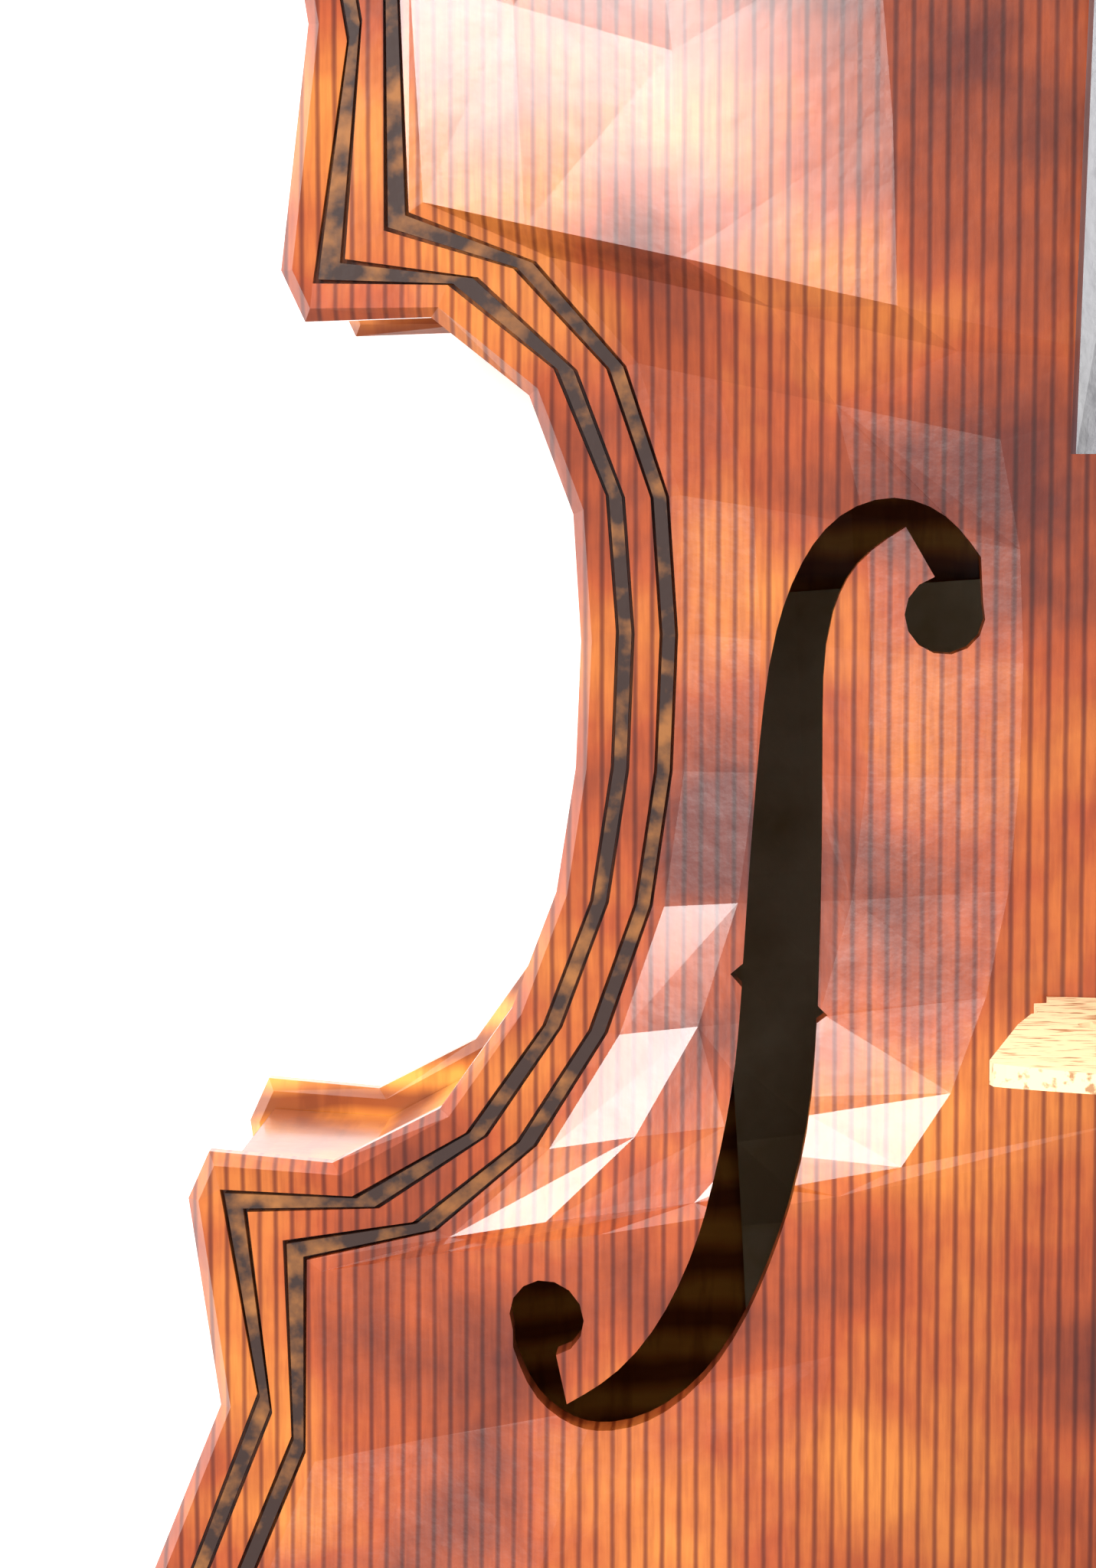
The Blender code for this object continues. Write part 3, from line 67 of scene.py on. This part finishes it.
class Nodes:
    """Short calls to add and link the nodes of one material."""

    def __init__(self, material):
        self.tree = material.node_tree
        self.shader = self.tree.nodes["Principled BSDF"]
        self.place = self.add("ShaderNodeTexCoord").outputs["Object"]

    def add(self, kind, inputs=None, **settings):
        node = self.tree.nodes.new(kind)
        for name, value in settings.items():
            setattr(node, name, value)
        for name, value in (inputs or {}).items():
            if isinstance(value, bpy.types.NodeSocket):
                self.tree.links.new(value, node.inputs[name])
            else:
                node.inputs[name].default_value = value
        return node

    def stretched(self, scale):
        return self.add("ShaderNodeMapping", {"Vector": self.place, "Scale": scale}).outputs[0]

    def noise(self, scale, stretch=(1, 1, 1), detail=4.0):
        inputs = {"Vector": self.stretched(stretch), "Scale": scale, "Detail": detail}
        return self.add("ShaderNodeTexNoise", inputs).outputs["Fac"]

    def bands(self, gap, direction, distortion):
        inputs = {
            "Vector": self.place,
            "Scale": 0.314 / gap,
            "Distortion": distortion,
            "Detail": 3.0,
            "Detail Scale": 1.2,
        }
        wave = self.add("ShaderNodeTexWave", inputs, bands_direction=direction)
        return wave.outputs["Fac"]

    def ramp(self, value, stops):
        node = self.add("ShaderNodeValToRGB", {"Fac": value})
        elements = node.color_ramp.elements
        while len(elements) < len(stops):
            elements.new(0.5)
        for element, (position, colour) in zip(elements, stops):
            element.position = position
            element.color = (*colour, 1.0)
        return node.outputs["Color"]

    def multiplied(self, first, second, share=1.0):
        node = self.add("ShaderNodeMix", data_type="RGBA", blend_type="MULTIPLY")
        node.inputs["Factor"].default_value = share
        self.tree.links.new(first, node.inputs["A"])
        self.tree.links.new(second, node.inputs["B"])
        return node.outputs["Result"]

    def finish(self, colour, height, roughness, depth, coat=0.0, metallic=0.0):
        bump = self.add("ShaderNodeBump", {"Height": height, "Distance": depth, "Strength": 0.5})
        inputs = self.shader.inputs
        self.tree.links.new(colour, inputs["Base Color"])
        self.tree.links.new(bump.outputs[0], inputs["Normal"])
        inputs["Roughness"].default_value = roughness
        inputs["Coat Weight"].default_value = coat
        inputs["Coat Roughness"].default_value = 0.12
        inputs["Metallic"].default_value = metallic


def spruce(nodes, wood):
    mottle = nodes.ramp(
        nodes.noise(45, detail=6.0),
        [(0.32, (0.13, 0.018, 0.008)), (0.5, (0.4, 0.07, 0.014)), (0.68, (0.62, 0.19, 0.03))],
    )
    rings = nodes.ramp(
        nodes.bands(wood.grain_gap, "X", 0.25), [(0.0, (0.3, 0.16, 0.12)), (0.35, (1, 1, 1))]
    )
    silk = nodes.ramp(
        nodes.noise(260, (6, 0.5, 1)), [(0.35, (0.72, 0.62, 0.58)), (0.6, (1, 1, 1))]
    )
    colour = nodes.multiplied(nodes.multiplied(mottle, rings, 0.85), silk, 0.7)
    nodes.finish(colour, nodes.noise(300), 0.34, 0.0002, coat=0.8)


def maple(nodes, wood):
    flame = nodes.ramp(
        nodes.bands(wood.flame_gap, "Y", 3.0),
        [(0.1, (0.3, 0.07, 0.012)), (0.55, (0.62, 0.2, 0.03)), (0.95, (0.85, 0.38, 0.06))],
    )
    pores = nodes.ramp(
        nodes.noise(500, (1, 0.15, 0.15)), [(0.35, (0.6, 0.45, 0.35)), (0.5, (1, 1, 1))]
    )
    nodes.finish(nodes.multiplied(flame, pores, 0.6), nodes.noise(200), 0.32, 0.0002, coat=0.8)


def bare_spruce(nodes, wood):
    rings = nodes.ramp(
        nodes.bands(wood.grain_gap, "X", 0.4), [(0.0, (0.4, 0.24, 0.1)), (0.5, (0.66, 0.46, 0.24))]
    )
    nodes.finish(rings, nodes.noise(400), 0.7, 0.0002)


def bridge_maple(nodes, wood):
    flecks = nodes.ramp(
        nodes.noise(900, (0.4, 1, 2.2)), [(0.36, (0.42, 0.2, 0.08)), (0.46, (0.95, 0.68, 0.38))]
    )
    nodes.finish(flecks, nodes.noise(500), 0.5, 0.0001)


def ebony(nodes, wood):
    streaks = nodes.ramp(
        nodes.noise(300, (1, 0.08, 1)), [(0.35, (0.012, 0.01, 0.014)), (0.7, (0.06, 0.052, 0.07))]
    )
    nodes.finish(streaks, nodes.noise(600), 0.3, 0.0001, coat=0.2)


def purfling(nodes, wood):
    """Dyed black wood with the warm core showing through in worn stretches."""
    wear = nodes.ramp(
        nodes.noise(300), [(0.45, (0.03, 0.012, 0.008)), (0.7, (0.3, 0.11, 0.025))]
    )
    nodes.finish(wear, nodes.noise(500), 0.4, 0.0001, coat=0.6)


def string_metal(nodes, wood):
    tint = nodes.ramp(nodes.noise(800), [(0.3, (0.42, 0.42, 0.44)), (0.7, (0.68, 0.68, 0.7))])
    nodes.finish(tint, nodes.bands(0.0004, "Y", 0.0), 0.3, 0.0001, metallic=1.0)


def tail_gut(nodes, wood):
    tint = nodes.ramp(nodes.noise(400), [(0.3, (0.02, 0.018, 0.015)), (0.7, (0.07, 0.06, 0.05))])
    nodes.finish(tint, nodes.noise(900), 0.5, 0.0001)


def label_paper(nodes, wood):
    stain = nodes.ramp(nodes.noise(60), [(0.35, (0.5, 0.38, 0.2)), (0.6, (0.74, 0.64, 0.44))])
    nodes.finish(stain, nodes.noise(700), 0.85, 0.0001)


FINISHES = {
    "varnished_spruce": spruce,
    "varnished_maple": maple,
    "bare_spruce": bare_spruce,
    "bridge_maple": bridge_maple,
    "ebony": ebony,
    "purfling": purfling,
    "string_metal": string_metal,
    "tail_gut": tail_gut,
    "label_paper": label_paper,
}


class VIOLA_OT_materials(bpy.types.Operator):
    """Give every CAD node the material of its slot."""

    bl_idname = "viola.materials"
    bl_label = "Viola materials"

    def execute(self, context):
        wood = context.scene.viola_wood
        materials = {}
        for name, build in FINISHES.items():
            materials[name] = bpy.data.materials.new(name)
            materials[name].use_nodes = True
            build(Nodes(materials[name]), wood)
        for part in FRAME["record"]["subparts"]:
            node = FRAME["nodes"][part["node"]]
            node.data.materials.clear()
            node.data.materials.append(materials[part["material_slot"]])
        return {"FINISHED"}


def aimed(place, sight):
    """A matrix at this place that looks along this line, its X axis square to world Y."""
    back = -Vector(sight).normalized()
    right = Vector((0, 1, 0)).cross(back).normalized()
    up = back.cross(right)
    return Matrix.Translation(place) @ Matrix((right, up, back)).transposed().to_4x4()


class VIOLA_OT_stage(bpy.types.Operator):
    """Add the floor, the lights, the white background and the camera."""

    bl_idname = "viola.stage"
    bl_label = "Viola stage"

    def execute(self, context):
        scene = context.scene
        self.add_floor(scene.viola_stage.floor_size)
        for name, (place, size, power) in LIGHTS.items():
            lamp = bpy.data.lights.new(name, "AREA")
            lamp.size = size
            lamp.energy = power
            light = bpy.data.objects.new(name, lamp)
            light.matrix_world = aimed(place, TARGET - Vector(place))
            scene.collection.objects.link(light)
        self.set_world(scene)
        camera = bpy.data.objects.new("camera", bpy.data.cameras.new("camera"))
        camera.data.lens = scene.viola_stage.lens
        camera.data.clip_start = 0.01
        camera.matrix_world = aimed(CAMERA_PLACE, CAMERA_SIGHT)
        scene.collection.objects.link(camera)
        scene.camera = camera
        scene.view_settings.view_transform = "Standard"
        return {"FINISHED"}

    def add_floor(self, size):
        bpy.ops.mesh.primitive_plane_add(size=size, location=(0, 0, -0.0005))
        floor = bpy.context.object
        floor.name = "floor"
        material = bpy.data.materials.new("floor")
        material.use_nodes = True
        shader = material.node_tree.nodes["Principled BSDF"]
        shader.inputs["Base Color"].default_value = (0.95, 0.95, 0.95, 1)
        shader.inputs["Roughness"].default_value = 0.9
        shader.inputs["Emission Color"].default_value = (1, 1, 1, 1)
        shader.inputs["Emission Strength"].default_value = 0.35
        floor.data.materials.append(material)

    def set_world(self, scene):
        world = bpy.data.worlds.new("studio")
        scene.world = world
        world.use_nodes = True
        tree = world.node_tree
        dim = tree.nodes["Background"]
        dim.inputs["Color"].default_value = (1, 1, 1, 1)
        dim.inputs["Strength"].default_value = 0.45
        white = tree.nodes.new("ShaderNodeBackground")
        white.inputs["Color"].default_value = (1, 1, 1, 1)
        path = tree.nodes.new("ShaderNodeLightPath")
        mix = tree.nodes.new("ShaderNodeMixShader")
        tree.links.new(path.outputs["Is Camera Ray"], mix.inputs[0])
        tree.links.new(dim.outputs[0], mix.inputs[1])
        tree.links.new(white.outputs[0], mix.inputs[2])
        tree.links.new(mix.outputs[0], tree.nodes["World Output"].inputs["Surface"])


class VIOLA_PT_panel(bpy.types.Panel):
    bl_label = "Viola"
    bl_idname = "VIOLA_PT_panel"
    bl_space_type = "VIEW_3D"
    bl_region_type = "UI"
    bl_category = "Viola"

    def draw(self, context):
        for group in (context.scene.viola_wood, context.scene.viola_stage):
            for name in group.__annotations__:
                self.layout.prop(group, name)
        self.layout.operator("viola.materials")
        self.layout.operator("viola.stage")


CLASSES = (ViolaWood, ViolaStage, VIOLA_OT_materials, VIOLA_OT_stage, VIOLA_PT_panel)


def register():
    for kind in CLASSES:
        bpy.utils.register_class(kind)
    bpy.types.Scene.viola_wood = bpy.props.PointerProperty(type=ViolaWood)
    bpy.types.Scene.viola_stage = bpy.props.PointerProperty(type=ViolaStage)


def unregister():
    del bpy.types.Scene.viola_stage
    del bpy.types.Scene.viola_wood
    for kind in reversed(CLASSES):
        bpy.utils.unregister_class(kind)


def main():
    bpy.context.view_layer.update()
    bpy.ops.viola.materials()
    bpy.ops.viola.stage()


if __name__ == "__main__":
    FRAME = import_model()
    register()
    main()
